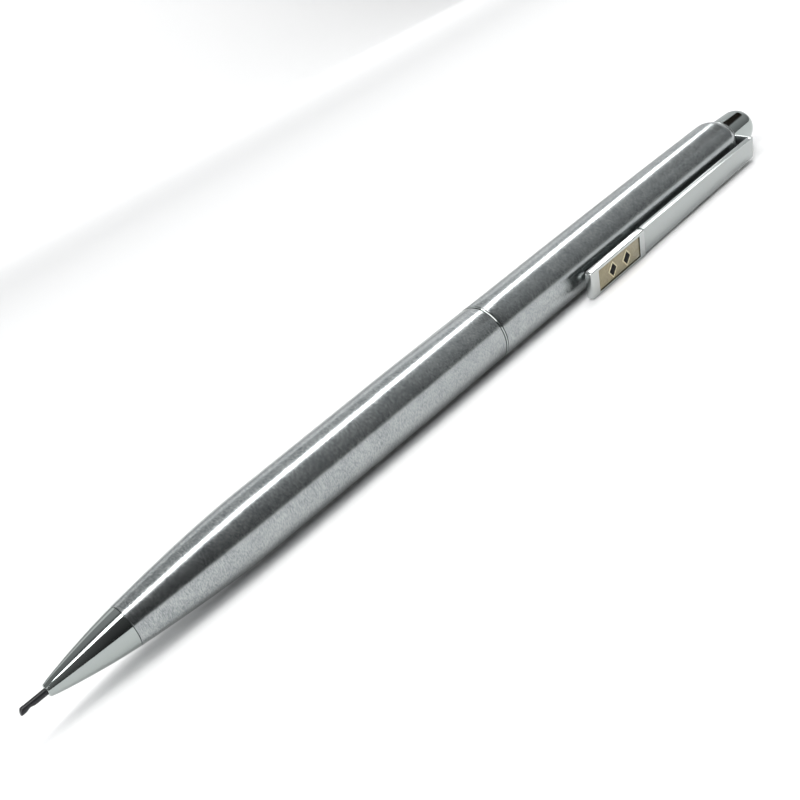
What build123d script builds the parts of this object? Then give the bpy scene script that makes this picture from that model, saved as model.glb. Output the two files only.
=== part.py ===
from build123d import *
import os
from math import asin, atan2, cos, hypot, sin

# A slim push-button mechanical pencil lying on a table: lead end towards -X, button
# towards +X, clip towards -Y. Turned pieces share one axis parallel to X.
# All sizes are in millimetres, and every radius is measured from that axis.

os.makedirs("parts", exist_ok=True)

# --- Driving dimensions ----------------------------------------------------------

# Lengths in order from the lead's end to the button's end
lead_out = 2.85          # lead in front of the cone
tip_length = 8.75        # cone, face to seam
lower_length = 53.5      # lower barrel
ring_width = 0.4         # ring between the barrels
upper_length = 56.8      # upper barrel
clip_sheet = 0.35        # sheet of the clip and of its ring
button_out = 7.35        # button behind the clip's ring

# Outer shapes
barrel_r = 3.765         # both barrels where they meet
ring_proud = 0.015       # ring over the barrels
upper_crown = 0.10       # bulge of the upper barrel over its ends
swell_length = 16.5      # front of the lower barrel, which widens fast
swell_power = 1.6        # how it widens
swell_gap = 0.245        # barrel's radius less the radius at the swell's end
swell_steps = 5          # points that the swell is drawn through
taper_length = 23.5      # slow widening behind the swell
taper_steps = 3
tip_face_r = 0.70
tip_base_r = 2.32
tip_bow = 0.13           # bulge of the cone's side over its chord
tip_edge = 0.2           # rounding of the cone's face
shoulder_length = 1.9    # upper barrel's rounded end
seam_bevel = 0.12        # bevels that leave fine lines beside the ring
button_taper = 0.18      # button's narrowing up to its dome
dome_length = 2.7

# Gaps and walls
run_gap = 0.05           # between pieces that slide or turn on each other
lead_gap = 0.02          # between the lead and what guides it
loose_gap = 0.10         # between pieces that lie loose or pass freely
barrel_wall = 0.615
rim_wall = 0.19          # upper barrel's rim, round the button
skirt_gap = 0.27         # button in the barrel's wide bore
lip_width = 0.15         # lip that the chuck sleeve rests on
shoulder_wall = 3.3      # length of that lip
skirt_length = 3.65      # button's skirt inside the upper barrel
rim_lip = 2.9            # narrow bore under the rim

# Lead, mechanism and reservoir
lead_r = 0.35
lead_length = 48.0
lead_wear = 0.12         # rounding of the lead's worn end
guide_length = 2.75      # fine bore at the tip
retainer_length = 1.8
retainer_r = 0.93
retainer_room = 2.0      # pocket that holds the retainer
nose_r = 1.22            # room for the chuck's head
spigot_length = 3.95     # threaded end of the cone, inside the barrel
ring_seat_length = 3.0   # wider bore that the clutch ring slides in
clutch_ring_r = 1.27
clutch_ring_length = 1.9
chuck_head_r = 1.15
chuck_neck_r = 0.85
chuck_shank_r = 0.80
chuck_head_length = 2.9
chuck_head_lead = 3.05   # chuck's face in front of the sleeve
chuck_length = 15.5
chuck_slit = 0.2
chuck_slit_length = 8.5
sleeve_length = 12.1
sleeve_wall = 1.0        # sleeve's front wall
sleeve_skin = 0.35       # its side wall
spring_room = 8.4        # spring's length at rest
spring_wire_r = 0.16
spring_turns = 7
connector_length = 6.0
connector_spigot = 3.0
tube_wall = 0.35
spare_count = 3
spare_length = 60.0
spare_gap = 1.5          # from the connector to the spare leads

# Coupling, tube guide, eraser and button
coupling_depth = 8.0     # in each barrel
coupling_wall = 0.5
guide_bush_length = 7.8
press_travel = 3.0
press_gap = 0.25         # left over when the button is home
ferrule_depth = 5.6      # ferrule's rim, in front of the clip's ring
ferrule_r = 1.90
ferrule_plug = 3.5
ferrule_length = 4.95
ferrule_floor = 0.95
eraser_r = 1.50
eraser_out = 5.8
eraser_round = 0.5
pin_r = 0.20
pin_out = 13.5
button_roof = 1.7

# Clip, with its heights over the barrel's widest circle
clip_top_rise = 1.735    # arm's outer face at its bend
clip_low_rise = 1.985    # the same beside the plaque
plaque_rise = 2.185      # plaque's outer face
nub_gap = 0.05           # between the nub and the barrel
clip_top_w = 3.00        # arm's width at its bend
clip_low_w = 3.70        # and beside the plaque
arm_depth = 0.80         # arm's folded sides
arm_block = 1.2          # arm's filled end, where the tongue is fixed
knuckle_r = 0.40         # bend that the arm springs about
plaque_length = 12.4
plaque_width = 3.83
plaque_thick = 0.90
plaque_to_rim = 30.2     # plaque's arm end, in front of the rim
plaque_corner = 0.45
plaque_edge = 0.12
step_gap = 0.15          # groove between the plaque and the arm
free_border = 1.65       # plaque's border at its free end
arm_border = 1.30        # at the arm
side_border = 0.415      # and at its sides
window_depth = 0.30
inlay_sink = 0.08        # inlay's face below the plaque's
mark_length = 1.7
mark_width = 1.9
mark_depth = 0.10
mark_spacing = 3.2
tongue_thick = 0.30
tongue_width = 2.40
tongue_inset = 0.6       # tongue's end inside the plaque's free end
nub_r = 0.75
nub_round = 0.65         # rounding of its end
nub_inset = 1.9

# --- Places worked out from them ---------------------------------------------------

overall = lead_out + tip_length + lower_length + ring_width + upper_length + clip_sheet + button_out
x_lead = -overall / 2
x_tip = x_lead + lead_out
x_seam = x_tip + tip_length
x_ring = x_seam + lower_length
x_upper = x_ring + ring_width
x_rim = x_upper + upper_length
x_cap = x_rim + clip_sheet
x_button = x_cap + button_out

ring_r = barrel_r + ring_proud
swell_r = barrel_r - swell_gap
widest_r = barrel_r + upper_crown
barrel_bore_r = barrel_r - barrel_wall
button_r = barrel_bore_r - skirt_gap
button_neck_r = button_r - button_taper
rim_r = button_r + run_gap + rim_wall

# The spare leads lie round the one in use, and the tube goes round them all.
spare_offset = 2 * lead_r + loose_gap
tube_bore_r = spare_offset + lead_r + loose_gap
tube_r = tube_bore_r + tube_wall
connector_bore_r = lead_r + loose_gap
shoulder_bore_r = tube_r + loose_gap
sleeve_r = shoulder_bore_r + lip_width
front_bore_r = sleeve_r + run_gap
chamber_r = sleeve_r - sleeve_skin
connector_r = chamber_r - loose_gap
sleeve_hole_r = chuck_shank_r + loose_gap

clip_top_h = widest_r + clip_top_rise
clip_low_h = widest_r + clip_low_rise
plaque_h = widest_r + plaque_rise

# The pencil rests on its widest circle and on the plaque's lower corner.
corner_reach = hypot(plaque_h, plaque_width / 2)
clip_lie = asin(widest_r / corner_reach) - atan2(plaque_width / 2, plaque_h)
clip_reach = plaque_h * cos(clip_lie) + plaque_width / 2 * sin(clip_lie)
axis_point = Vector(0, (clip_reach - widest_r) / 2, widest_r)

pencil_axis = Axis(axis_point, (1, 0, 0))
side = Plane(origin=axis_point, x_dir=(1, 0, 0), z_dir=(0, -1, 0))
outward = Vector(0, -cos(clip_lie), -sin(clip_lie))
clip_side = Plane(origin=axis_point, x_dir=(1, 0, 0), z_dir=Vector(1, 0, 0).cross(outward))

x_sleeve = x_seam + spigot_length + run_gap
x_sleeve_back = x_sleeve + sleeve_length
x_main_bore = x_sleeve_back + shoulder_wall
x_chuck = x_sleeve - chuck_head_lead
x_chamber = x_sleeve + sleeve_wall
x_connector = x_chamber + spring_room
x_tube = x_connector + connector_length
x_skirt = x_cap - skirt_length
x_ferrule = x_cap - ferrule_depth
x_tube_back = x_ferrule - run_gap
x_guide = x_ferrule - press_travel - press_gap
x_plaque = x_rim - plaque_to_rim
x_knuckle = x_cap - knuckle_r
knuckle_h = clip_top_h - knuckle_r


def turn(*corners, mode=Mode.ADD):
    """Turns a closed outline of (x, radius) corners about the pencil's axis."""
    with BuildSketch(side) as section:
        with BuildLine():
            Polyline(*corners, close=True)
        make_face()
    revolve(section.sketch, axis=pencil_axis, mode=mode)


def turn_tube(start, end, inner, outer, mode=Mode.ADD):
    """A plain round tube, or a rod where the inner radius is nothing."""
    turn((start, inner), (end, inner), (end, outer), (start, outer), mode=mode)


def bore(start, end, radius):
    """Cuts a round hole along the pencil's axis."""
    turn_tube(start, end, 0, radius, mode=Mode.SUBTRACT)


def finish(part, label):
    """Names a finished piece and writes it."""
    part.label = label
    export_step(part, f"parts/{label}.step")


# --- Lead, tip and clutch ----------------------------------------------------------

# The lead in use, worn round at its end
with BuildPart() as lead:
    turn_tube(x_lead, x_lead + lead_length, 0, lead_r)
    fillet(lead.edges().group_by(Axis.X)[0], lead_wear)
finish(lead.part, "lead")

# Chromed cone, turned from brass: fine lead guide, retainer pocket, chuck room, spigot
x_pocket = x_tip + guide_length
x_nose = x_pocket + retainer_room
x_spigot_back = x_seam + spigot_length
with BuildPart() as tip_cone:
    with BuildSketch(side):
        with BuildLine():
            Polyline((x_seam, tip_base_r), (x_seam, 0), (x_tip, 0), (x_tip, tip_face_r))
            SagittaArc((x_tip, tip_face_r), (x_seam, tip_base_r), tip_bow)
        make_face()
    revolve(axis=pencil_axis)
    fillet(tip_cone.edges().group_by(Axis.X)[0], tip_edge)
    turn_tube(x_seam, x_spigot_back, 0, sleeve_r)
    bore(x_tip, x_spigot_back, lead_r + lead_gap)
    bore(x_pocket, x_spigot_back, retainer_r + lead_gap)
    bore(x_nose, x_spigot_back, nose_r)
    bore(x_spigot_back - ring_seat_length, x_spigot_back, clutch_ring_r + run_gap)
finish(tip_cone.part, "tip_cone")

# Rubber washer that holds the lead while the chuck goes back
with BuildPart() as lead_retainer:
    turn_tube(x_pocket + lead_gap, x_pocket + lead_gap + retainer_length, lead_r + lead_gap, retainer_r)
finish(lead_retainer.part, "lead_retainer")

# Brass chuck: a tapered head on a slit shank, so that the ring can close it on the lead
x_head_back = x_chuck + chuck_head_length
x_chuck_back = x_chuck + chuck_length
with BuildPart() as chuck:
    turn(
        (x_chuck, 0),
        (x_chuck_back, 0),
        (x_chuck_back, chuck_shank_r),
        (x_head_back, chuck_shank_r),
        (x_head_back, chuck_neck_r),
        (x_chuck, chuck_head_r),
    )
    bore(x_chuck, x_chuck_back, lead_r + lead_gap)
    with BuildSketch(Plane(origin=axis_point + Vector(x_chuck, 0, 0), z_dir=(1, 0, 0))):
        with PolarLocations(0, 3):
            Rectangle(2 * chuck_head_r, chuck_slit, align=(Align.MIN, Align.CENTER))
    extrude(amount=chuck_slit_length, mode=Mode.SUBTRACT)
finish(chuck.part, "chuck")

# Brass ring that slides on the chuck's taper
ring_taper = (chuck_head_r - chuck_neck_r) / chuck_head_length
x_clutch_back = x_sleeve - run_gap
x_clutch = x_clutch_back - clutch_ring_length
clutch_front_bore_r = chuck_head_r - ring_taper * (x_clutch - x_chuck) + run_gap
clutch_back_bore_r = chuck_neck_r + run_gap
with BuildPart() as clutch_ring:
    turn(
        (x_clutch, clutch_front_bore_r),
        (x_clutch_back, clutch_back_bore_r),
        (x_clutch_back, clutch_ring_r),
        (x_clutch, clutch_ring_r),
    )
finish(clutch_ring.part, "clutch_ring")

# Sleeve that carries the mechanism: front wall for the ring and the spring to push on
with BuildPart() as chuck_sleeve:
    turn_tube(x_sleeve, x_sleeve_back, sleeve_hole_r, sleeve_r)
    bore(x_chamber, x_sleeve_back, chamber_r)
finish(chuck_sleeve.part, "chuck_sleeve")

# Spring that draws the chuck back into the ring
spring_mean_r = (chamber_r + chuck_shank_r) / 2
spring_height = spring_room - 2 * (spring_wire_r + run_gap)
spring_start = axis_point + Vector(x_chamber + spring_wire_r + run_gap, 0, 0)
with BuildPart() as return_spring:
    with BuildLine() as coil:
        Helix(spring_height / spring_turns, spring_height, spring_mean_r, center=spring_start, direction=(1, 0, 0))
    with BuildSketch(Plane(origin=coil.line @ 0, z_dir=coil.line % 0)):
        Circle(spring_wire_r)
    sweep(path=coil.line, is_frenet=True)
finish(return_spring.part, "return_spring")

# --- Reservoir ---------------------------------------------------------------------

# Brass connector between the chuck and the lead tube
with BuildPart() as tube_connector:
    turn_tube(x_connector, x_tube, connector_bore_r, connector_r)
    turn_tube(x_tube, x_tube + connector_spigot, connector_bore_r, tube_bore_r)
    bore(x_connector, x_chuck_back, chuck_shank_r)
finish(tube_connector.part, "tube_connector")

# Lead tube, from the connector to the eraser's ferrule
with BuildPart() as lead_tube:
    turn_tube(x_tube, x_tube_back, tube_bore_r, tube_r)
finish(lead_tube.part, "lead_tube")

# Spare leads, loose in the tube round the lead in use
x_spare = x_tube + connector_spigot + spare_gap
spare_face = Plane(origin=axis_point + Vector(x_spare, 0, 0), z_dir=(1, 0, 0))
for number in range(spare_count):
    with BuildPart() as spare_lead:
        with BuildSketch(spare_face):
            with PolarLocations(spare_offset, 1, start_angle=90 + number * 360 / spare_count):
                Circle(lead_r)
        extrude(amount=spare_length)
    finish(spare_lead.part, f"spare_lead_{number + 1}")

# --- Barrels -----------------------------------------------------------------------


def swell_point(share):
    """A point of the lower barrel's outline, at a share of the swell."""
    narrowing = (swell_r - tip_base_r) * (1 - share) ** swell_power
    return (x_seam + share * swell_length, swell_r - narrowing)


def taper_point(share):
    """A point of the outline behind the swell, at a share of the slow widening."""
    return (x_seam + swell_length + share * taper_length, swell_r + share * swell_gap)


swell_slope = swell_power * (swell_r - tip_base_r) / swell_length
swell_points = [swell_point(step / swell_steps) for step in range(swell_steps + 1)]
taper_points = [taper_point(step / taper_steps) for step in range(1, taper_steps + 1)]

# Lower barrel, turned from stainless bar: narrow bore round the mechanism, wide bore behind
with BuildPart() as lower_barrel:
    with BuildSketch(side):
        with BuildLine():
            Spline(*swell_points, *taper_points, tangents=[(1, swell_slope), (1, 0)])
            Polyline(
                taper_points[-1],
                (x_ring - seam_bevel, barrel_r),
                (x_ring, barrel_r - seam_bevel),
                (x_ring, 0),
                (x_seam, 0),
                (x_seam, tip_base_r),
            )
        make_face()
    revolve(axis=pencil_axis)
    bore(x_seam, x_sleeve_back, front_bore_r)
    bore(x_sleeve_back, x_main_bore, shoulder_bore_r)
    bore(x_main_bore, x_ring, barrel_bore_r)
finish(lower_barrel.part, "lower_barrel")

# Brass sleeve that joins the two barrels
with BuildPart() as coupling_sleeve:
    turn_tube(x_ring - coupling_depth, x_upper + coupling_depth, barrel_bore_r - coupling_wall, barrel_bore_r)
finish(coupling_sleeve.part, "coupling_sleeve")

# Bright ring between the barrels
with BuildPart() as centre_ring:
    turn_tube(x_ring, x_upper, barrel_bore_r, ring_r)
finish(centre_ring.part, "centre_ring")

# Upper barrel: a lightly crowned tube, drawn in at the rim
x_shoulder = x_rim - shoulder_length
with BuildPart() as upper_barrel:
    with BuildSketch(side):
        with BuildLine():
            Polyline(
                (x_rim, rim_r),
                (x_rim, 0),
                (x_upper, 0),
                (x_upper, barrel_r - seam_bevel),
                (x_upper + seam_bevel, barrel_r),
            )
            SagittaArc((x_upper + seam_bevel, barrel_r), (x_shoulder, barrel_r), upper_crown)
            TangentArc((x_shoulder, barrel_r), (x_rim, rim_r), tangent=(1, 0))
        make_face()
    revolve(axis=pencil_axis)
    bore(x_upper, x_rim - rim_lip, barrel_bore_r)
    bore(x_rim - rim_lip, x_rim, button_r + run_gap)
finish(upper_barrel.part, "upper_barrel")

# Bush that guides the lead tube and stops the ferrule at the end of a press
with BuildPart() as tube_guide:
    turn_tube(x_guide - guide_bush_length, x_guide, tube_r + run_gap, barrel_bore_r)
finish(tube_guide.part, "tube_guide")

# --- Eraser and button -------------------------------------------------------------

# Ferrule: a plug in the lead tube below a cup for the eraser
x_cup = x_ferrule + ferrule_floor
x_cup_back = x_ferrule + ferrule_length
with BuildPart() as eraser_ferrule:
    turn_tube(x_ferrule - ferrule_plug, x_ferrule, 0, tube_bore_r - lead_gap)
    turn_tube(x_ferrule, x_cup_back, 0, ferrule_r)
    bore(x_ferrule - ferrule_plug, x_cup, pin_r)
    bore(x_cup, x_cup_back, eraser_r)
finish(eraser_ferrule.part, "eraser_ferrule")

# Eraser, a rounded plug in the ferrule's cup
with BuildPart() as eraser:
    turn_tube(x_cup, x_cup_back + eraser_out, 0, eraser_r)
    fillet(eraser.edges().group_by(Axis.X)[-1], eraser_round)
finish(eraser.part, "eraser")

# Clean-out wire, fixed in the ferrule and reaching down into the tube
with BuildPart() as clean_out_pin:
    turn_tube(x_ferrule - ferrule_plug - pin_out, x_cup, 0, pin_r)
finish(clean_out_pin.part, "clean_out_pin")

# Push button: chromed cap with a slight taper and a domed end
x_dome = x_button - dome_length
with BuildPart() as push_button:
    with BuildSketch(side):
        with BuildLine():
            Polyline(
                (x_button, 0),
                (x_skirt, 0),
                (x_skirt, button_r),
                (x_cap, button_r),
                (x_dome, button_neck_r),
            )
            EllipticalCenterArc((x_dome, 0), dome_length, button_neck_r, 0, arc_size=90)
        make_face()
    revolve(axis=pencil_axis)
    bore(x_skirt, x_button - button_roof, ferrule_r + run_gap)
finish(push_button.part, "push_button")

# --- Clip --------------------------------------------------------------------------


def clip_level(height):
    """A plane across the clip at a height above the pencil's axis, facing outward."""
    return Plane(origin=axis_point + outward * height, x_dir=(1, 0, 0), z_dir=outward)


# Clip ring: a washer on the rim with a tab that ends in the knuckle the arm springs about
with BuildPart() as clip_ring:
    turn_tube(x_rim, x_cap, 0, rim_r)
    with BuildSketch(clip_side):
        with Locations((x_rim, 0)):
            Rectangle(clip_sheet, knuckle_h, align=(Align.MIN, Align.MIN))
    extrude(amount=clip_top_w / 2, both=True)
    with BuildSketch(clip_side):
        with Locations((x_knuckle, knuckle_h)):
            Circle(knuckle_r)
    extrude(amount=clip_top_w / 2, both=True)
    bore(x_rim, x_cap, button_r + run_gap)
finish(clip_ring.part, "clip_ring")

# Clip arm: sheet folded into a shallow channel, widening to the plaque, with a tongue
# under the plaque and a hollow end that turns on the knuckle
x_arm = x_plaque + step_gap
tongue_h = plaque_h - plaque_thick
x_tongue = x_plaque - plaque_length + tongue_inset
with BuildPart() as clip_arm:
    with BuildSketch(clip_side):
        with BuildLine():
            Polyline(
                (x_arm, clip_low_h),
                (x_knuckle, clip_top_h),
                (x_knuckle, clip_top_h - arm_depth),
                (x_arm, clip_low_h - arm_depth),
                close=True,
            )
        make_face()
    extrude(amount=clip_low_w / 2, both=True)
    with BuildSketch(clip_level(0)):
        with BuildLine():
            Polyline(
                (x_arm, clip_low_w / 2),
                (x_knuckle, clip_top_w / 2),
                (x_knuckle, -clip_top_w / 2),
                (x_arm, -clip_low_w / 2),
                close=True,
            )
        make_face()
    extrude(amount=plaque_h, mode=Mode.INTERSECT)
    with BuildSketch(clip_side):
        with BuildLine():
            Polyline(
                (x_arm + arm_block, clip_low_h - clip_sheet),
                (x_knuckle - 2 * knuckle_r, clip_top_h - clip_sheet),
                (x_knuckle - 2 * knuckle_r, 0),
                (x_arm + arm_block, 0),
                close=True,
            )
        make_face()
    extrude(amount=clip_top_w / 2 - clip_sheet, both=True, mode=Mode.SUBTRACT)
    with BuildSketch(clip_side):
        with Locations((x_tongue, tongue_h)):
            Rectangle(x_arm + arm_block - x_tongue, tongue_thick, align=(Align.MIN, Align.MAX))
    extrude(amount=tongue_width / 2, both=True)
    with BuildSketch(clip_side):
        with Locations((x_knuckle, knuckle_h)):
            Circle(knuckle_r + run_gap)
    extrude(amount=clip_low_w, both=True, mode=Mode.SUBTRACT)
finish(clip_arm.part, "clip_arm")

# Nub that lets cloth slip under the clip: a ball end standing on the tongue's underside
nub_tip_h = widest_r + nub_gap
nub_foot_h = tongue_h - tongue_thick
x_nub = x_plaque - plaque_length + nub_inset
with BuildPart() as clip_nub:
    with BuildSketch(clip_level(nub_foot_h)):
        with Locations((x_nub, 0)):
            Circle(nub_r)
    extrude(amount=nub_tip_h - nub_foot_h)
    fillet(clip_nub.faces().sort_by(Axis(axis_point, outward))[0].edges(), nub_round)
finish(clip_nub.part, "clip_nub")

# Plaque: a raised frame with a sunk window
window_length = plaque_length - free_border - arm_border
window_width = plaque_width - 2 * side_border
x_window = x_plaque - arm_border - window_length / 2
with BuildPart() as plaque_frame:
    with BuildSketch(clip_level(plaque_h)):
        with Locations((x_plaque - plaque_length / 2, 0)):
            RectangleRounded(plaque_length, plaque_width, plaque_corner)
    extrude(amount=-plaque_thick)
    fillet(plaque_frame.faces().sort_by(Axis(axis_point, outward))[-1].edges(), plaque_edge)
    with BuildSketch(clip_level(plaque_h)):
        with Locations((x_window, 0)):
            Rectangle(window_length, window_width)
    extrude(amount=-window_depth, mode=Mode.SUBTRACT)
finish(plaque_frame.part, "plaque_frame")

# The inlay's two marks: plain lozenges, let in flush
mark_places = [(x_window - mark_spacing / 2, 0), (x_window + mark_spacing / 2, 0)]
mark_corners = [(mark_length / 2, 0), (0, mark_width / 2), (-mark_length / 2, 0), (0, -mark_width / 2)]

# Enamel inlay in the window, with a sunk place for each mark
inlay_h = plaque_h - inlay_sink
with BuildPart() as plaque_inlay:
    with BuildSketch(clip_level(inlay_h)):
        with Locations((x_window, 0)):
            Rectangle(window_length, window_width)
    extrude(amount=inlay_sink - window_depth)
    with BuildSketch(clip_level(inlay_h)):
        with Locations(*mark_places):
            Polygon(*mark_corners)
    extrude(amount=-mark_depth, mode=Mode.SUBTRACT)
finish(plaque_inlay.part, "plaque_inlay")

for number, place in enumerate(mark_places, start=1):
    with BuildPart() as plaque_mark:
        with BuildSketch(clip_level(inlay_h)):
            with Locations(place):
                Polygon(*mark_corners)
        extrude(amount=-mark_depth)
    finish(plaque_mark.part, f"plaque_mark_{number}")
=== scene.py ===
import math

import bpy
from mathutils import Matrix, Vector


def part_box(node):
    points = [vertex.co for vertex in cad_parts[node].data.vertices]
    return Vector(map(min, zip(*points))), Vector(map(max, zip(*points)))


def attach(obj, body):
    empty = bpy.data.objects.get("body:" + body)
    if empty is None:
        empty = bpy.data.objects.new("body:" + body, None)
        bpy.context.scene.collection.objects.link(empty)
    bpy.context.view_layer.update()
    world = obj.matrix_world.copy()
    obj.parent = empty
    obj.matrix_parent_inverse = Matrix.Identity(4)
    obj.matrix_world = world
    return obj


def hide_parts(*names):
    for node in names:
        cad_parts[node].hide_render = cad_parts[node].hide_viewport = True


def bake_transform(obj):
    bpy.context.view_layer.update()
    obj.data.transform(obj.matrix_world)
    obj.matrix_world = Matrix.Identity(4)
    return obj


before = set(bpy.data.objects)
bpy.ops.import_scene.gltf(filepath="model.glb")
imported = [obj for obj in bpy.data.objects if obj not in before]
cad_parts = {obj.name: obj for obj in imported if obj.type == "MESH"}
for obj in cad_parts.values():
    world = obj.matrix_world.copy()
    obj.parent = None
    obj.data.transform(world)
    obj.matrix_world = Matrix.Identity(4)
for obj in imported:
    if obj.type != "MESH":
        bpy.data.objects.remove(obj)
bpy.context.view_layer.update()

# --- Writing lead -------------------------------------------------------------------
# A fired stick of graphite and clay, 0.7 mm across, standing out of the tip. Writing has
# worn its end at a slant, and a flake lost from below has left a small lip there.

mm = 0.001
same_place = 0.001 * mm
lead_low, lead_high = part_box("lead")
axis_y = (lead_low.y + lead_high.y) / 2
axis_z = (lead_low.z + lead_high.z) / 2


def turned(name, outline, body, sides=128):
    """A turned piece: a ring of edges drawn out from station to station of (x, radius) in
    metres. An outline that ends on its first station closes on itself, and any other has a
    flat face at each end."""
    bpy.ops.object.select_all(action="DESELECT")
    x, radius = outline[0]
    bpy.ops.mesh.primitive_circle_add(
        vertices=sides, radius=radius, location=(x, axis_y, axis_z), rotation=(0, math.pi / 2, 0))
    piece = bpy.context.object
    piece.name = name
    bpy.ops.object.transform_apply(location=True, rotation=True, scale=True)
    bpy.ops.object.mode_set(mode="EDIT")
    bpy.ops.mesh.select_all(action="SELECT")
    closed = outline[-1] == outline[0]
    if not closed:
        bpy.ops.mesh.edge_face_add()
    for next_x, next_radius in outline[1:]:
        bpy.ops.mesh.extrude_region_move(TRANSFORM_OT_translate={"value": (next_x - x, 0, 0)})
        size = next_radius / radius
        bpy.ops.transform.resize(value=(1, size, size), center_override=(next_x, axis_y, axis_z))
        x, radius = next_x, next_radius
    bpy.ops.mesh.select_all(action="SELECT")
    if closed:
        bpy.ops.mesh.remove_doubles(threshold=same_place)
    bpy.ops.mesh.normals_make_consistent(inside=False)
    bpy.ops.object.mode_set(mode="OBJECT")
    bpy.ops.object.shade_smooth_by_angle(angle=math.radians(25))
    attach(piece, body)
    return piece


def linear(code):
    """An sRGB hex colour as the linear values that a shader takes."""
    values = [int(code[place:place + 2], 16) / 255 for place in (0, 2, 4)]
    return [v / 12.92 if v <= 0.04045 else ((v + 0.055) / 1.055) ** 2.4 for v in values] + [1.0]


def new_material(name, colour, **inputs):
    """A material whose shader has these constant values, and that shader."""
    material = bpy.data.materials.new(name)
    material.use_nodes = True
    shader = material.node_tree.nodes["Principled BSDF"]
    shader.inputs["Base Color"].default_value = linear(colour)
    for key, value in inputs.items():
        shader.inputs[key.replace("_", " ").title().replace("Ior", "IOR")].default_value = value
    return material, shader


def add_node(owner, kind, inputs=None, links=None, **settings):
    """A node of a material or the world, with its settings, its inputs' values and the
    sockets that feed them."""
    node = owner.node_tree.nodes.new("ShaderNode" + kind)
    for key, value in settings.items():
        setattr(node, key, value)
    for key, value in (inputs or {}).items():
        node.inputs[key].default_value = value
    for key, socket in (links or {}).items():
        owner.node_tree.links.new(socket, node.inputs[key])
    return node


def give(piece, material):
    """Puts the material on every slot of a piece or CAD node."""
    if not piece.material_slots:
        piece.data.materials.append(material)
    for held in piece.material_slots:
        held.material = material


lead_r = 0.35 * mm
lead_x = lead_low.x
worn_end = [(0.00, 0.16), (0.02, 0.24), (0.06, 0.31), (0.13, 0.35), (0.22, 0.363), (0.34, 0.363),
            (0.48, 0.36), (0.65, 0.35), (0.8, 0.35), (0.95, 0.35), (1.1, 0.35), (1.25, 0.35),
            (1.45, 0.35), (1.8, 0.35)]
outline = [(lead_x + x * mm, r * mm) for x, r in worn_end] + [(lead_high.x, lead_r)]
writing_lead = turned("writing_lead", outline, "writing_lead", sides=48)
worn_length, wear_slant = 1.7 * mm, 0.4
flake_x, flake_length, flake_depth, flake_turn = 1.05 * mm, 0.28 * mm, 0.12 * mm, 0.3
for vertex in writing_lead.data.vertices:
    back = (vertex.co.x - lead_x) / worn_length
    if back < 1:
        side = Vector((0, vertex.co.y - axis_y, vertex.co.z - axis_z)) / lead_r
        flake = math.exp(-((vertex.co.x - lead_x - flake_x) / flake_length) ** 2)
        below = max(0.0, -side.z - flake_turn * side.y)
        vertex.co -= side * flake_depth * flake * below
        vertex.co.x += wear_slant * lead_r * (1 + side.z) * (1 - back) ** 2
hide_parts("lead")

# Burnished by the paper: a dark grey with a soft metallic sheen, streaked along the lead.
graphite, shader = new_material("graphite_lead", "343436", metallic=0.6, roughness=0.27)
streak_length, streak_width, streak_depth = 0.9 * mm, 0.07 * mm, 0.01 * mm
place = add_node(graphite, "TexCoord")
streaks = add_node(
    graphite, "Mapping", {"Scale": (1 / streak_length, 1 / streak_width, 1 / streak_width)},
    {"Vector": place.outputs["Object"]})
grain = add_node(
    graphite, "TexNoise", {"Scale": 1.0, "Detail": 3.0}, {"Vector": streaks.outputs["Vector"]})
bump = add_node(
    graphite, "Bump", {"Strength": 0.6, "Distance": streak_depth}, {"Height": grain.outputs["Fac"]})
graphite.node_tree.links.new(bump.outputs["Normal"], shader.inputs["Normal"])
give(writing_lead, graphite)
for name in ("spare_lead_1", "spare_lead_2", "spare_lead_3"):
    give(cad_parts[name], graphite)

# --- Tip cone -------------------------------------------------------------------------
# Turned from brass with a fine lead guide in front and a threaded spigot behind, then
# polished and chromium plated. It screws into the lower barrel.

seam_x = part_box("lower_barrel")[0].x
tip_x, spigot_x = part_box("tip_cone")[0].x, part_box("tip_cone")[1].x
cone_length, spigot_end = (seam_x - tip_x) / mm, (spigot_x - tip_x) / mm
nose_x, nose_r, base_r, bow = 0.2, 0.73, 2.32, 0.13
lead_hole_r, washer_r, bore_r, mouth_r = 0.37, 0.95, 1.22, 1.32
washer_x, bore_x, mouth_x = 2.75, 4.75, spigot_end - 3.0
side_steps, edge, lip = 16, 0.04, 0.12
cone_outline = [(0.0, lead_hole_r), (0.0, 0.50), (0.03, 0.59), (0.09, 0.66)]
for step in range(1, side_steps + 1):
    share = step / side_steps
    cone_outline.append((nose_x + share * (cone_length - nose_x - edge),
                         nose_r + (base_r - nose_r) * share + 4 * bow * share * (1 - share)))
cone_outline += [(cone_length - 0.05, base_r - 0.02), (cone_length - edge, base_r - lip),
                 (cone_length, base_r - lip), (cone_length, 1.75)]
root_r, crest_r, pitch, turns = 1.73, 1.84, 0.5, 6
for turn_number in range(turns):
    thread_x = cone_length + 0.45 + turn_number * pitch
    cone_outline += [(thread_x, root_r), (thread_x + 0.17, crest_r),
                     (thread_x + 0.25, crest_r), (thread_x + 0.42, root_r)]
cone_outline += [(spigot_end - 0.15, root_r), (spigot_end, 1.6), (spigot_end, mouth_r),
                 (mouth_x, mouth_r), (mouth_x, bore_r), (bore_x, bore_r), (bore_x, washer_r),
                 (washer_x, washer_r), (washer_x, lead_hole_r), (0.0, lead_hole_r)]
outline = [(tip_x + x * mm, r * mm) for x, r in cone_outline]
tip_shell = turned("tip_shell", outline, "tip")
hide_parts("tip_cone")

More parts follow.
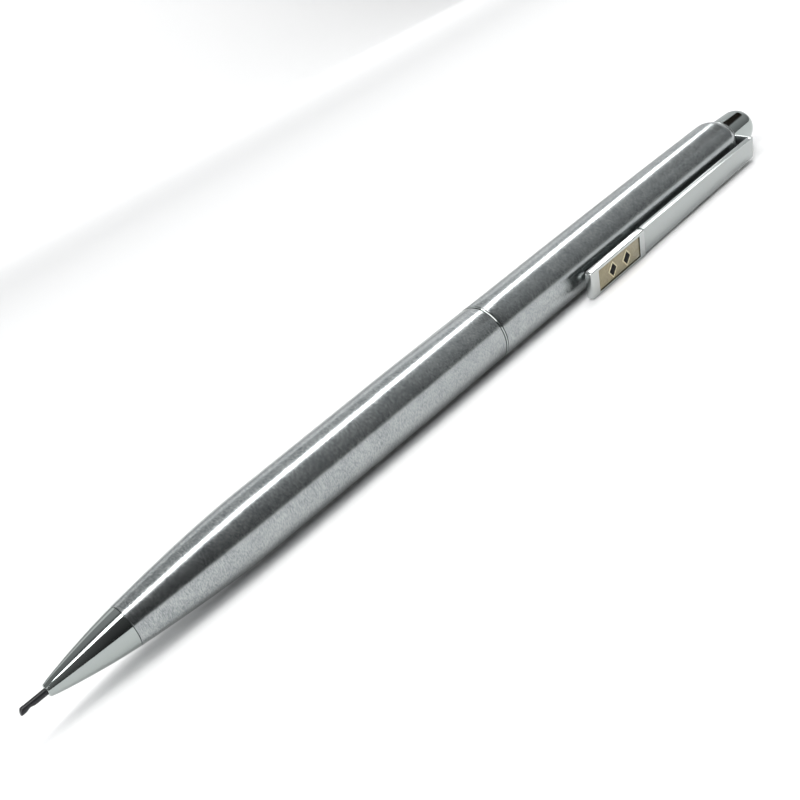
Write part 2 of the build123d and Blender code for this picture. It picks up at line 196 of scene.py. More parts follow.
# Chromium over polished brass: a cool, near mirror grey, dulled here and there by fingers.
chrome, shader = new_material("chromium_plate", "a9afad", metallic=1.0, roughness=0.06)
smudge = 1.6 * mm
place = add_node(chrome, "TexCoord")
smudges = add_node(
    chrome, "TexNoise", {"Scale": 1 / smudge, "Detail": 3.0}, {"Vector": place.outputs["Object"]})
sheen = add_node(
    chrome, "MapRange", {"To Min": 0.03, "To Max": 0.13}, {"Value": smudges.outputs["Fac"]})
chrome.node_tree.links.new(sheen.outputs["Result"], shader.inputs["Roughness"])
give(tip_shell, chrome)

# --- Clutch and other turned brass ----------------------------------------------------
# A slit brass chuck closes on the lead when the spring draws it back into a brass ring.
# It, its sleeve, the joints of tube and barrels and the ferrule are left as machined.

# Machined brass: a warm yellow with the tool's fine lines round it.
brass, shader = new_material("turned_brass", "c9a55c", metallic=1.0, roughness=0.24)
line_width, line_length, line_depth = 0.12 * mm, 4 * mm, 0.006 * mm
place = add_node(brass, "TexCoord")
lines = add_node(
    brass, "Mapping", {"Scale": (1 / line_width, 1 / line_length, 1 / line_length)},
    {"Vector": place.outputs["Object"]})
cuts = add_node(
    brass, "TexNoise", {"Scale": 1.0, "Detail": 2.0}, {"Vector": lines.outputs["Vector"]})
bump = add_node(
    brass, "Bump", {"Strength": 0.5, "Distance": line_depth}, {"Height": cuts.outputs["Fac"]})
brass.node_tree.links.new(bump.outputs["Normal"], shader.inputs["Normal"])
for name in ("chuck", "clutch_ring", "chuck_sleeve", "tube_connector", "coupling_sleeve",
             "tube_guide", "eraser_ferrule"):
    give(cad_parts[name], brass)

# --- Lead retainer --------------------------------------------------------------------
# A rubber washer moulded to grip the lead lightly, pressed into the cone. It keeps the
# lead from slipping back while the chuck is open.

# Moulded rubber: a matt near-black, mottled and gritty, with hardly a highlight.
rubber, shader = new_material("black_rubber", "262626", roughness=0.7)
grit_size, grit_depth = 0.08 * mm, 0.01 * mm
place = add_node(rubber, "TexCoord")
grit = add_node(
    rubber, "TexNoise", {"Scale": 1 / grit_size, "Detail": 3.0}, {"Vector": place.outputs["Object"]})
tone = add_node(rubber, "ValToRGB", links={"Fac": grit.outputs["Fac"]})
dark, light = tone.color_ramp.elements
dark.position, dark.color = 0.3, linear("1f1f1f")
light.position, light.color = 0.8, linear("3a3a39")
bump = add_node(
    rubber, "Bump", {"Strength": 0.5, "Distance": grit_depth}, {"Height": grit.outputs["Fac"]})
rubber.node_tree.links.new(tone.outputs["Color"], shader.inputs["Base Color"])
rubber.node_tree.links.new(bump.outputs["Normal"], shader.inputs["Normal"])
give(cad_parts["lead_retainer"], rubber)

# --- Return spring and clean-out wire -------------------------------------------------
# The spring is wound from hard steel wire in seven turns, and draws the chuck back after
# each press. The clean-out wire is a straight length of the same, fixed in the eraser.

spring_low, spring_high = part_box("return_spring")
wire_r, coils, wire_sides, steps_per_coil = 0.16 * mm, 7, 12, 28
mean_r = (spring_high.z - spring_low.z) / 2 - wire_r
bpy.ops.object.select_all(action="DESELECT")
bpy.ops.mesh.primitive_circle_add(
    vertices=wire_sides, radius=wire_r, fill_type="NGON", location=(0, 0, mean_r),
    rotation=(math.pi / 2, 0, 0))
spring_coil = bpy.context.object
spring_coil.name = "spring_coil"
bpy.ops.object.transform_apply(location=True, rotation=True, scale=True)
winding = spring_coil.modifiers.new("winding", "SCREW")
winding.axis, winding.angle, winding.steps = "X", 2 * math.pi * coils, steps_per_coil * coils
winding.render_steps = winding.steps
winding.screw_offset = spring_high.x - spring_low.x - 2 * wire_r
bpy.ops.object.modifier_apply(modifier="winding")
spring_coil.location = (spring_low.x + wire_r, axis_y, axis_z)
bpy.ops.object.transform_apply(location=True)
bpy.ops.object.mode_set(mode="EDIT")
bpy.ops.mesh.select_all(action="SELECT")
bpy.ops.mesh.normals_make_consistent(inside=False)
bpy.ops.object.mode_set(mode="OBJECT")
bpy.ops.object.shade_smooth_by_angle(angle=math.radians(50))
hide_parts("return_spring")
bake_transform(spring_coil)

# Drawn wire: a bright grey whose gloss changes a little from place to place.
wire, shader = new_material("spring_wire", "a9acae", metallic=1.0, roughness=0.2)
draw_mark, draw_depth = 0.1 * mm, 0.004 * mm
place = add_node(wire, "TexCoord")
drawn = add_node(
    wire, "TexNoise", {"Scale": 1 / draw_mark, "Detail": 2.0}, {"Vector": place.outputs["Object"]})
rough = add_node(
    wire, "MapRange", {"To Min": 0.12, "To Max": 0.34}, {"Value": drawn.outputs["Fac"]})
bump = add_node(
    wire, "Bump", {"Strength": 0.4, "Distance": draw_depth}, {"Height": drawn.outputs["Fac"]})
wire.node_tree.links.new(rough.outputs["Result"], shader.inputs["Roughness"])
wire.node_tree.links.new(bump.outputs["Normal"], shader.inputs["Normal"])
give(spring_coil, wire)
give(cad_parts["clean_out_pin"], wire)

# --- Lead tube ------------------------------------------------------------------------
# A thin tube of natural polythene that holds the spare leads and carries the press from
# the button down to the chuck.

# Natural polythene: milky and waxy, clouded along its length.
tube, shader = new_material("moulded_polythene", "d9dbd6", roughness=0.38)
cloud_length, cloud_width, cloud_depth = 6 * mm, 0.8 * mm, 0.01 * mm
place = add_node(tube, "TexCoord")
flow = add_node(
    tube, "Mapping", {"Scale": (1 / cloud_length, 1 / cloud_width, 1 / cloud_width)},
    {"Vector": place.outputs["Object"]})
cloud = add_node(
    tube, "TexNoise", {"Scale": 1.0, "Detail": 2.0}, {"Vector": flow.outputs["Vector"]})
tone = add_node(tube, "ValToRGB", links={"Fac": cloud.outputs["Fac"]})
dark, light = tone.color_ramp.elements
dark.position, dark.color = 0.3, linear("cfd2cc")
light.position, light.color = 0.7, linear("e2e3df")
bump = add_node(
    tube, "Bump", {"Strength": 0.3, "Distance": cloud_depth}, {"Height": cloud.outputs["Fac"]})
tube.node_tree.links.new(tone.outputs["Color"], shader.inputs["Base Color"])
tube.node_tree.links.new(bump.outputs["Normal"], shader.inputs["Normal"])
give(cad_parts["lead_tube"], tube)

# --- Lower barrel ---------------------------------------------------------------------
# Turned from stainless tube, widening from the tip, and brushed round and round with fine
# emery, so that highlights run along it as soft-ended streaks.

ring_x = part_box("centre_ring")[0].x
lower_length = (ring_x - seam_x) / mm
barrel_r, swell_r, swell, power, taper, ease = 3.765, 3.52, 16.5, 1.6, 23.5, 0.8
tube_bore_r, guide_r, socket_r, guide_x, guide_end = 3.15, 1.70, 1.90, 16.1, 19.4
swell_steps, taper_steps = 20, 12
outline = [(0.0, socket_r), (0.0, 2.25), (0.02, 2.29), (0.06, 2.335)]
for step in range(1, swell_steps + 1):
    share = step / swell_steps
    outline.append((share * swell, swell_r - (swell_r - base_r) * (1 - share) ** power))
for step in range(1, taper_steps + 1):
    share = step / taper_steps
    rise = share - max(0, share - ease) ** 2
    outline.append((swell + share * taper, swell_r + (barrel_r - swell_r) * rise))
outline += [(lower_length - 0.12, barrel_r), (lower_length - 0.03, barrel_r - 0.03),
            (lower_length, barrel_r - 0.12), (lower_length, tube_bore_r),
            (guide_end, tube_bore_r), (guide_end, guide_r), (guide_x, guide_r),
            (guide_x, socket_r), (0.0, socket_r)]
outline = [(seam_x + x * mm, r * mm) for x, r in outline]
lower_tube = turned("lower_tube", outline, "barrel")
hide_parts("lower_barrel")

# Brushed stainless: a neutral grey whose crosswise lines draw highlights out along it.
brushed, shader = new_material(
    "brushed_stainless", "a0a3a3", metallic=1.0, roughness=0.22, anisotropic=0.4)
place = add_node(brushed, "TexCoord")
# Real emery lines are about 0.03 mm wide. They are drawn 0.09 mm wide so that they show.
emery_width, emery_length, emery_depth = 0.09 * mm, 0.36 * mm, 0.006 * mm
wide = add_node(
    brushed, "Mapping", {"Scale": (1 / emery_width, 1 / emery_length, 1 / emery_length)},
    {"Vector": place.outputs["Object"]})
brush = add_node(
    brushed, "TexNoise", {"Scale": 1.0, "Detail": 3.0, "Roughness": 0.75},
    {"Vector": wide.outputs["Vector"]})
# Handling has left the finish a little uneven, in patches about 2 mm across.
patch, patch_share = 2.2 * mm, 0.18
patches = add_node(
    brushed, "TexNoise", {"Scale": 1 / patch, "Detail": 2.0}, {"Vector": place.outputs["Object"]})
emery_part = add_node(
    brushed, "Math", {1: 1 - patch_share}, {0: brush.outputs["Fac"]}, operation="MULTIPLY")
both = add_node(
    brushed, "Math", {1: patch_share}, {0: patches.outputs["Fac"], 2: emery_part.outputs["Value"]},
    operation="MULTIPLY_ADD")
tone = add_node(brushed, "ValToRGB", links={"Fac": both.outputs["Value"]})
dark, light = tone.color_ramp.elements
dark.position, dark.color = 0.33, linear("7b8184")
light.position, light.color = 0.67, linear("c1c4c3")
rough = add_node(
    brushed, "MapRange", {"From Min": 0.3, "From Max": 0.7, "To Min": 0.17, "To Max": 0.27},
    {"Value": both.outputs["Value"]})
bump = add_node(
    brushed, "Bump", {"Strength": 0.6, "Distance": emery_depth}, {"Height": brush.outputs["Fac"]})
along = add_node(brushed, "CombineXYZ", {"X": 1.0})
for socket, key in ((tone.outputs["Color"], "Base Color"), (rough.outputs["Result"], "Roughness"),
                    (bump.outputs["Normal"], "Normal"), (along.outputs["Vector"], "Tangent")):
    brushed.node_tree.links.new(socket, shader.inputs[key])
give(lower_tube, brushed)

# --- Centre ring ------------------------------------------------------------------------
# A narrow polished ring between the barrels, plated like the tip. A groove turned in each
# of its sides leaves a fine dark line against each barrel.

ring_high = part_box("centre_ring")[1].x
width = (ring_high - ring_x) / mm
groove_r, groove, ring_r, gap = 3.55, 0.09, 3.78, 0.01
outline = [(gap, tube_bore_r), (gap, groove_r), (groove, groove_r), (groove, ring_r - edge),
           (groove + edge, ring_r)]
outline += [(width - x, r) for x, r in reversed(outline)] + [(gap, tube_bore_r)]
outline = [(ring_x + x * mm, r * mm) for x, r in outline]
seam_ring = turned("seam_ring", outline, "barrel")
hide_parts("centre_ring")
give(seam_ring, chrome)

# --- Upper barrel -----------------------------------------------------------------------
# The same tube, lightly crowned and drawn in at its end to a thin rim round the button,
# then brushed as the lower barrel is.

upper_x, upper_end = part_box("upper_barrel")[0].x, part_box("upper_barrel")[1].x
upper_length = (upper_end - upper_x) / mm
crown, crown_x, shoulder, rim_r = 0.10, 0.12, 1.9, 3.12
rim_bore_r, rim_depth = 2.93, 2.9
crown_steps, shoulder_steps = 20, 8
crown_length = upper_length - shoulder - crown_x
outline = [(0.0, tube_bore_r), (0.0, 3.64), (0.03, 3.73), (crown_x, barrel_r)]
for step in range(1, crown_steps + 1):
    share = step / crown_steps
    outline.append((crown_x + share * crown_length, barrel_r + 4 * crown * share * (1 - share)))
drop = barrel_r - rim_r
curve_r = (shoulder ** 2 + drop ** 2) / (2 * drop)
for step in range(1, shoulder_steps + 1):
    x = shoulder * step / shoulder_steps
    outline.append((upper_length - shoulder + x, barrel_r - curve_r + math.sqrt(curve_r ** 2 - x ** 2)))
outline += [(upper_length, rim_bore_r), (upper_length - rim_depth, rim_bore_r),
            (upper_length - rim_depth, tube_bore_r), (0.0, tube_bore_r)]
outline = [(upper_x + x * mm, r * mm) for x, r in outline]
upper_tube = turned("upper_tube", outline, "barrel")
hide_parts("upper_barrel")
give(upper_tube, brushed)

# --- Eraser and push button ---------------------------------------------------------------
# Under the button a brass ferrule holds a white eraser. The button is a plated brass cap
# with a slight taper and a domed end, and pulls off the ferrule.

# White vinyl: a warm off-white, matt and a little crumbly.
eraser, shader = new_material("vinyl_eraser", "d6d3c9", roughness=0.75)
crumb_size, crumb_depth = 0.3 * mm, 0.03 * mm
place = add_node(eraser, "TexCoord")
crumb = add_node(
    eraser, "TexNoise", {"Scale": 1 / crumb_size, "Detail": 4.0}, {"Vector": place.outputs["Object"]})
tone = add_node(eraser, "ValToRGB", links={"Fac": crumb.outputs["Fac"]})
dark, light = tone.color_ramp.elements
dark.position, dark.color = 0.3, linear("cbc7bb")
light.position, light.color = 0.6, linear("dddad1")
bump = add_node(
    eraser, "Bump", {"Strength": 0.6, "Distance": crumb_depth}, {"Height": crumb.outputs["Fac"]})
eraser.node_tree.links.new(tone.outputs["Color"], shader.inputs["Base Color"])
eraser.node_tree.links.new(bump.outputs["Normal"], shader.inputs["Normal"])
give(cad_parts["eraser"], eraser)

cap_low, cap_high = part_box("push_button")
cap_length = (cap_high.x - cap_low.x) / mm
skirt_length, skirt_r, neck_r, cap_bore_r = 3.65, 2.88, 2.70, 1.95
dome, dome_steps, fullness, centre_r = 2.7, 16, 2.35, 0.02
cap_floor = cap_length - 1.7
outline = [(0.0, cap_bore_r), (0.0, 2.80), (0.08, skirt_r), (skirt_length, skirt_r),
           (cap_length - dome, neck_r)]
for step in range(1, dome_steps):
    share = math.sin(math.pi / 2 * step / dome_steps)
    outline.append((cap_length - dome + dome * share,
                    neck_r * (1 - share ** fullness) ** (1 / fullness)))
outline += [(cap_length, centre_r), (cap_length - 0.6, centre_r), (cap_floor, 0.05),
            (cap_floor, cap_bore_r), (0.0, cap_bore_r)]
outline = [(cap_low.x + x * mm, r * mm) for x, r in outline]
button_cap = turned("button_cap", outline, "button")
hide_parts("push_button")
give(button_cap, chrome)

# --- Clip ring and arm ----------------------------------------------------------------------
# Stamped from sheet steel and satin finished: a thin ring trapped under the rim, a tab out
# to the bend, and an arm folded into a shallow channel with a tongue for the plaque.


def softened(name, node, body, rounded):
    """A copy of a CAD node with its triangles merged and its sharp edges rounded."""
    bpy.ops.object.select_all(action="DESELECT")
    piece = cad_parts[node].copy()
    piece.data = piece.data.copy()
    for key in list(piece.keys()):
        del piece[key]
    piece.parent = None
    piece.name = name
    bpy.context.scene.collection.objects.link(piece)
    bpy.context.view_layer.objects.active = piece
    piece.select_set(True)
    bpy.ops.object.mode_set(mode="EDIT")
    bpy.ops.mesh.select_all(action="SELECT")
    bpy.ops.mesh.remove_doubles(threshold=same_place)
    bpy.ops.mesh.dissolve_limited(angle_limit=math.radians(2))
    bpy.ops.object.mode_set(mode="OBJECT")
    rounding = piece.modifiers.new("rounding", "BEVEL")
    rounding.width, rounding.segments = rounded, 2
    rounding.limit_method, rounding.angle_limit = "ANGLE", math.radians(35)
    bpy.ops.object.modifier_apply(modifier="rounding")
    bpy.ops.object.shade_smooth_by_angle(angle=math.radians(32))
    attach(piece, body)
    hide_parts(node)
    return piece


# Satin steel: an even pale grey, whose fine lengthwise scratches blur what it reflects.
satin, shader = new_material("satin_steel", "b0b4b3", metallic=1.0, roughness=0.3)
scratch_length, scratch_width, scratch_depth = 1.6 * mm, 0.12 * mm, 0.004 * mm
place = add_node(satin, "TexCoord")
fine = add_node(
    satin, "Mapping", {"Scale": (1 / scratch_length, 1 / scratch_width, 1 / scratch_width)},
    {"Vector": place.outputs["Object"]})
scratches = add_node(
    satin, "TexNoise", {"Scale": 1.0, "Detail": 3.0}, {"Vector": fine.outputs["Vector"]})
bump = add_node(
    satin, "Bump", {"Strength": 0.3, "Distance": scratch_depth}, {"Height": scratches.outputs["Fac"]})
satin.node_tree.links.new(bump.outputs["Normal"], shader.inputs["Normal"])
sheet_edge = 0.05 * mm
for name, node, body in (("clip_tab", "clip_ring", "barrel"), ("clip_channel", "clip_arm", "clip"),
                         ("clip_ball", "clip_nub", "clip")):
    give(softened(name, node, body, sheet_edge), satin)

# --- Plaque -----------------------------------------------------------------------------------
# A raised frame of polished steel on the clip's end, with khaki enamel in its window and
# two black lozenges, each inside a fine raised line of pale metal.

plaque_low, plaque_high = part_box("plaque_frame")
plaque_length, plaque_width, plaque_thick = plaque_high.x - plaque_low.x, 3.83 * mm, 0.90 * mm
plaque_x = (plaque_low.x + plaque_high.x) / 2
plaque_h = 6.05 * mm
below_level = 19.9575
clip_turn = math.radians(90 + below_level)


def lay_on_clip(piece, name):
    """Turns a piece made upright over the world's origin onto the clip, and lets it ride."""
    piece.name = name
    bpy.ops.object.select_all(action="DESELECT")
    bpy.context.view_layer.objects.active = piece
    piece.select_set(True)
    bpy.ops.object.transform_apply(location=True, rotation=True, scale=True)
    piece.location = (0, axis_y, axis_z)
    piece.rotation_euler = (clip_turn, 0, 0)
    bpy.ops.object.transform_apply(location=True, rotation=True, scale=True)
    bpy.ops.object.shade_smooth_by_angle(angle=math.radians(32))
    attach(piece, "clip")


def slab(x, length, width, low, high):
    """A block standing between two heights over the pencil's axis."""
    bpy.ops.object.select_all(action="DESELECT")
    bpy.ops.mesh.primitive_cube_add(
        size=1, location=(x, 0, (low + high) / 2), scale=(length, width, high - low))
    bpy.ops.object.transform_apply(location=True, rotation=True, scale=True)
    return bpy.context.object


def pick_edges(piece, chosen):
    """Selects the edges whose two ends answer to chosen, and stays in edit mode."""
    bpy.ops.object.mode_set(mode="EDIT")
    bpy.ops.mesh.select_mode(type="EDGE")
    bpy.ops.mesh.select_all(action="DESELECT")
    bpy.ops.object.mode_set(mode="OBJECT")
    for edge in piece.data.edges:
        a, b = (piece.data.vertices[end].co for end in edge.vertices)
        edge.select = chosen(a, b)
    bpy.ops.object.mode_set(mode="EDIT")


free_border, arm_border, side_border = 1.65 * mm, 1.30 * mm, 0.415 * mm
corner_r, rim_edge, window_depth = 0.42 * mm, 0.12 * mm, 0.30 * mm
window_low, window_high = plaque_low.x + free_border, plaque_high.x - arm_border
plaque_rim = slab(plaque_x, plaque_length, plaque_width, plaque_h - plaque_thick, plaque_h)
pick_edges(plaque_rim, lambda a, b: abs(a.z - b.z) > plaque_thick / 2)
bpy.ops.mesh.bevel(offset=corner_r, segments=5, affect="EDGES")
pick_edges(plaque_rim, lambda a, b: min(a.z, b.z) > plaque_h - same_place)
bpy.ops.mesh.bevel(offset=rim_edge, segments=3, affect="EDGES")
bpy.ops.mesh.select_mode(type="FACE")
bpy.ops.mesh.select_all(action="DESELECT")
bpy.ops.object.mode_set(mode="OBJECT")
top = max(plaque_rim.data.polygons, key=lambda face: face.area * (face.normal.z > 0.9))
top.select = True
bpy.ops.object.mode_set(mode="EDIT")
bpy.ops.mesh.inset(thickness=side_border - rim_edge, depth=0)
bpy.ops.object.mode_set(mode="OBJECT")
for vertex in plaque_rim.data.vertices:
    if vertex.select:
        vertex.co.x = window_low if vertex.co.x < plaque_x else window_high
bpy.ops.object.mode_set(mode="EDIT")
bpy.ops.mesh.extrude_region_move(TRANSFORM_OT_translate={"value": (0, 0, -window_depth)})
bpy.ops.object.mode_set(mode="OBJECT")
lay_on_clip(plaque_rim, "plaque_rim")
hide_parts("plaque_frame")

# Polished steel: paler and sharper than the arm, with a light haze from handling.
polished, shader = new_material("polished_steel", "bdc0bf", metallic=1.0, roughness=0.12)
haze_size = 0.7 * mm
place = add_node(polished, "TexCoord")
haze = add_node(
    polished, "TexNoise", {"Scale": 1 / haze_size, "Detail": 3.0}, {"Vector": place.outputs["Object"]})
worn = add_node(
    polished, "MapRange", {"To Min": 0.07, "To Max": 0.18}, {"Value": haze.outputs["Fac"]})
polished.node_tree.links.new(worn.outputs["Result"], shader.inputs["Roughness"])
give(plaque_rim, polished)

# Stoved enamel: a dull khaki, finely speckled, with a thin gloss over it.
khaki, shader = new_material(
    "khaki_enamel", "968c6c", roughness=0.34, coat_weight=0.3, coat_roughness=0.12)
speck_size = 0.25 * mm
place = add_node(khaki, "TexCoord")
speck = add_node(
    khaki, "TexNoise", {"Scale": 1 / speck_size, "Detail": 2.0}, {"Vector": place.outputs["Object"]})
tone = add_node(khaki, "ValToRGB", links={"Fac": speck.outputs["Fac"]})
dark, light = tone.color_ramp.elements
dark.position, dark.color = 0.3, linear("877e5f")
light.position, light.color = 0.7, linear("a19778")
khaki.node_tree.links.new(tone.outputs["Color"], shader.inputs["Base Color"])
# The panel sits a little off centre in its window, so that a dark line shows along one end
# and one side.
inlay_h = plaque_h - 0.08 * mm
panel_low, panel_gap, panel_shift, panel_edge = plaque_h - 0.29 * mm, 0.11 * mm, 0.04 * mm, 0.04 * mm
panel = slab((window_low + window_high) / 2 - panel_shift, window_high - window_low - 2 * panel_gap,
             plaque_width - 2 * side_border - 2 * panel_gap, panel_low, inlay_h)
pick_edges(panel, lambda a, b: min(a.z, b.z) > inlay_h - same_place)
bpy.ops.mesh.bevel(offset=panel_edge, segments=2, affect="EDGES")
bpy.ops.mesh.select_all(action="SELECT")
bpy.ops.transform.translate(value=(0, panel_shift, 0))
bpy.ops.object.mode_set(mode="OBJECT")
lay_on_clip(panel, "khaki_panel")
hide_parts("plaque_inlay")
give(panel, khaki)

# Stoved black enamel: flat and deep, hardly shining, with a slight ripple as it dried.
black, shader = new_material("black_enamel", "0b0b0c", roughness=0.5, specular_ior_level=0.12)
ripple_size, ripple_depth = 0.4 * mm, 0.01 * mm
place = add_node(black, "TexCoord")
ripple = add_node(
    black, "TexNoise", {"Scale": 1 / ripple_size, "Detail": 1.0}, {"Vector": place.outputs["Object"]})
bump = add_node(
    black, "Bump", {"Strength": 0.4, "Distance": ripple_depth}, {"Height": ripple.outputs["Fac"]})
black.node_tree.links.new(bump.outputs["Normal"], shader.inputs["Normal"])

# Pale gilt metal: a soft cream shine, rubbed duller and brighter along the line.
pale, shader = new_material("pale_gilt_line", "d6ceb0", metallic=0.6, roughness=0.3)
rub_size = 0.2 * mm
place = add_node(pale, "TexCoord")
wear = add_node(
    pale, "TexNoise", {"Scale": 1 / rub_size, "Detail": 2.0}, {"Vector": place.outputs["Object"]})
tone = add_node(pale, "ValToRGB", links={"Fac": wear.outputs["Fac"]})
dark, light = tone.color_ramp.elements
dark.position, dark.color = 0.3, linear("c2b997")
light.position, light.color = 0.7, linear("e4dcc0")
rough = add_node(
    pale, "MapRange", {"To Min": 0.2, "To Max": 0.42}, {"Value": wear.outputs["Fac"]})
pale.node_tree.links.new(tone.outputs["Color"], shader.inputs["Base Color"])
pale.node_tree.links.new(rough.outputs["Result"], shader.inputs["Roughness"])

mark_length, mark_width, mark_rise, mark_edge = 1.6 * mm, 1.9 * mm, 0.06 * mm, 0.02 * mm
rule_width, rule_thick, rule_edge, rule_sunk = 0.2 * mm, 0.09 * mm, 0.03 * mm, 0.02 * mm
for number in (1, 2):
    mark_low, mark_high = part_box(f"plaque_mark_{number}")
    x = (mark_low.x + mark_high.x) / 2
    bpy.ops.object.select_all(action="DESELECT")
    bpy.ops.mesh.primitive_cylinder_add(
        vertices=4, radius=1, depth=1, location=(x, 0, inlay_h),
        scale=(mark_length / 2, mark_width / 2, mark_rise))
    lozenge = bpy.context.object
    bpy.ops.object.transform_apply(location=True, rotation=True, scale=True)
    pick_edges(lozenge, lambda a, b: min(a.z, b.z) > inlay_h)
    bpy.ops.mesh.bevel(offset=mark_edge, segments=2, affect="EDGES")
    bpy.ops.object.mode_set(mode="OBJECT")
    lay_on_clip(lozenge, f"black_lozenge_{number}")
    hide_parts(f"plaque_mark_{number}")
    give(lozenge, black)

    bpy.ops.object.select_all(action="DESELECT")
    bpy.ops.mesh.primitive_circle_add(
        vertices=4, radius=mark_length / 2, location=(x, 0, inlay_h - rule_sunk))
    line = bpy.context.object
    bpy.ops.object.transform_apply(location=True, rotation=True, scale=True)
    bpy.ops.object.mode_set(mode="EDIT")
    bpy.ops.mesh.select_all(action="SELECT")
    bpy.ops.transform.resize(
        value=(1, mark_width / mark_length, 1), center_override=(x, 0, inlay_h))
    bpy.ops.mesh.extrude_edges_move()
    widen = 1 + 2 * rule_width / mark_length
    bpy.ops.transform.resize(value=(widen, widen, 1), center_override=(x, 0, inlay_h))
    bpy.ops.mesh.select_all(action="SELECT")
    bpy.ops.mesh.normals_make_consistent(inside=False)
    bpy.ops.object.mode_set(mode="OBJECT")
    if line.data.polygons[0].normal.z < 0:
        bpy.ops.object.mode_set(mode="EDIT")
        bpy.ops.mesh.flip_normals()
        bpy.ops.object.mode_set(mode="OBJECT")
    wall = line.modifiers.new("wall", "SOLIDIFY")
    wall.thickness, wall.offset = rule_thick, 1
    bpy.ops.object.modifier_apply(modifier="wall")
    soft = line.modifiers.new("soft", "BEVEL")
    soft.width, soft.segments = rule_edge, 2
    bpy.ops.object.modifier_apply(modifier="soft")
    lay_on_clip(line, f"pale_line_{number}")
    give(line, pale)

# --- Table, backdrop and light --------------------------------------------------------------
# A sheet of white paper on a table, rolled up behind. A long softbox hangs over the pencil
# with a broad fill at the tip's end, and two more lamps light the paper behind.

sheet_size, back_y, roll_r, roll_steps, roll_turn = 4.0, 1.6, 0.6, 16, -85
bpy.ops.object.select_all(action="DESELECT")
bpy.ops.mesh.primitive_plane_add(size=sheet_size, location=(0.6, back_y - sheet_size / 2, 0))
paper_sheet = bpy.context.object
paper_sheet.name = "paper_sheet"
bpy.ops.object.transform_apply(location=True, rotation=True, scale=True)
pick_edges(paper_sheet, lambda a, b: min(a.y, b.y) > back_y - 10 * mm)
bpy.ops.mesh.spin(
    steps=roll_steps, angle=math.radians(roll_turn), center=(0, back_y, roll_r), axis=(1, 0, 0))
bpy.ops.object.mode_set(mode="OBJECT")
bpy.ops.object.shade_smooth()
# Uncoated paper: white, and quite without shine.
paper, _ = new_material("white_paper", "f6f6f6", roughness=0.9, specular_ior_level=0.1)
give(paper_sheet, paper)


def softbox(name, place, aim, length, width, watts, swing=0):
    """A rectangular soft light at a place, turned to face a point and swung on its own axis."""
    bpy.ops.object.light_add(type="AREA", location=place)
    lamp = bpy.context.object
    lamp.name = name
    lamp.data.shape = "RECTANGLE"
    lamp.data.size, lamp.data.size_y, lamp.data.energy = length, width, watts
    lamp.rotation_euler = (Vector(place) - Vector(aim)).to_track_quat("Z", "Y").to_euler()
    lamp.rotation_euler.rotate_axis("Z", math.radians(swing))


softbox("overhead_softbox", (0.49, 0.003, 0.90), (0.49, 0.003, 0.0), 1.9, 0.20, 8.2, swing=25)
softbox("fill_softbox", (-1.0, -0.35, 0.75), (0.0, 0.0, 0.0), 0.9, 0.8, 12.0)
softbox("rear_softbox", (0.3, 1.3, 1.0), (0.3, 1.3, 0.0), 3.0, 0.8, 4.2)
softbox("backdrop_softbox", (0.5, 1.0, 0.9), (0.5, 2.3, 0.25), 3.0, 0.3, 16.0)

# The room is dim in front and darkest at the tip's end, and lighter behind. Each stop is a
# place along the pencil's direction, from -1 to 1, and a brightness there.
world = bpy.data.worlds.new("studio")
bpy.context.scene.world = world
world.use_nodes = True
direction = add_node(world, "TexCoord")
way = add_node(world, "SeparateXYZ", links={"Vector": direction.outputs["Generated"]})
front_stops = ((-0.4, 0.20), (-0.1, 0.065), (0.0, 0.065), (0.3, 0.185), (0.6, 0.36), (0.85, 0.50))
rear_stops = ((-0.2, 0.28), (0.2, 0.54), (0.6, 0.70), (0.9, 0.76))
cool_red, cool_blue = 0.98, 1.01
tones = []
for stops in (front_stops, rear_stops):
    spread = add_node(world, "MapRange", {"From Min": -1.0}, {"Value": way.outputs["X"]})
    ramp = add_node(world, "ValToRGB", links={"Fac": spread.outputs["Result"]})
    while len(ramp.color_ramp.elements) < len(stops):
        ramp.color_ramp.elements.new(0.5)
    for stop, (x, level) in zip(ramp.color_ramp.elements, stops):
        stop.position, stop.color = (x + 1) / 2, (cool_red * level, level, cool_blue * level, 1)
    tones.append(ramp.outputs["Color"])
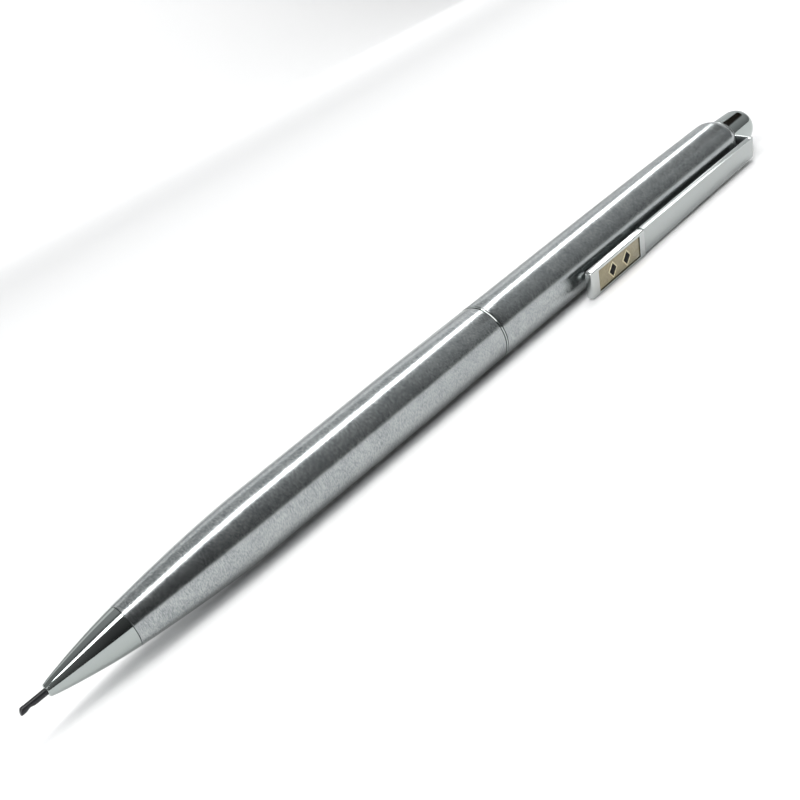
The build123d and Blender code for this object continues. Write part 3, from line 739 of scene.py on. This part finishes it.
# The ceiling in front throws back more of the softbox's light the nearer it is overhead.
lift = add_node(world, "MapRange", {"From Min": 0.1, "From Max": 1.0, "To Min": 0.5, "To Max": 1.65},
                {"Value": way.outputs["Z"]})
front = add_node(world, "VectorMath", links={0: tones[0], "Scale": lift.outputs["Result"]},
                 operation="SCALE")
turnover = add_node(world, "MapRange", {"From Min": -0.12, "From Max": 0.12},
                    {"Value": way.outputs["Y"]})
room = add_node(world, "MixRGB", links={"Fac": turnover.outputs["Result"],
                                        "Color1": front.outputs["Vector"], "Color2": tones[1]})
# A dark beam crosses the ceiling beyond the button's end, just in front of the softbox.
ends, height, depth = (
    add_node(world, "MapRange", {"From Min": start, "From Max": full}, {"Value": way.outputs[axis]})
    for axis, start, full in (("X", 0.805, 0.825), ("Z", 0.44, 0.48), ("Y", 0.16, 0.12)))
crossing = add_node(world, "Math", links={0: ends.outputs["Result"], 1: height.outputs["Result"]},
                    operation="MULTIPLY")
beam = add_node(world, "Math", links={0: crossing.outputs["Value"], 1: depth.outputs["Result"]},
                operation="MULTIPLY")
darken = add_node(world, "MixRGB", {"Color2": linear("231b14")},
                  {"Fac": beam.outputs["Value"], "Color1": room.outputs["Color"]})
world.node_tree.links.new(
    darken.outputs["Color"], world.node_tree.nodes["Background"].inputs["Color"])
bpy.context.scene.view_settings.view_transform = "Standard"

# --- Camera -----------------------------------------------------------------------------------
# Close above the tip and looking along the pencil, with a 46 mm lens on a 36 mm sensor. It
# stands 98 mm from a point on the pencil's axis, 10 mm ahead of the lead's end.

sensor, lens = 36.0, 45.99
distance, ahead, sunk = 97.81 * mm, 10.28 * mm, 0.19 * mm
rise, aim, roll = math.radians(22.3), math.radians(31.8), math.radians(39.20)
toward = Vector((0, -math.cos(rise), math.sin(rise)))
optical = Vector((math.sin(aim), 0, 0)) - toward * math.cos(aim)
pencil_way = Vector((math.cos(aim), 0, 0)) + toward * math.sin(aim)
down = optical.cross(pencil_way)
spot = Vector((lead_low.x - ahead, axis_y, axis_z)) + toward * distance - down * sunk
right = pencil_way * math.cos(roll) + down * math.sin(roll)
up = pencil_way * math.sin(roll) - down * math.cos(roll)
camera_data = bpy.data.cameras.new("camera")
camera = bpy.data.objects.new("camera", camera_data)
bpy.context.scene.collection.objects.link(camera)
camera_data.sensor_width, camera_data.lens = sensor, lens
camera_data.clip_start, camera_data.clip_end = 5 * mm, 20.0
camera.matrix_world = Matrix.Translation(spot) @ Matrix((right, up, -optical)).transposed().to_4x4()
bpy.context.scene.camera = camera
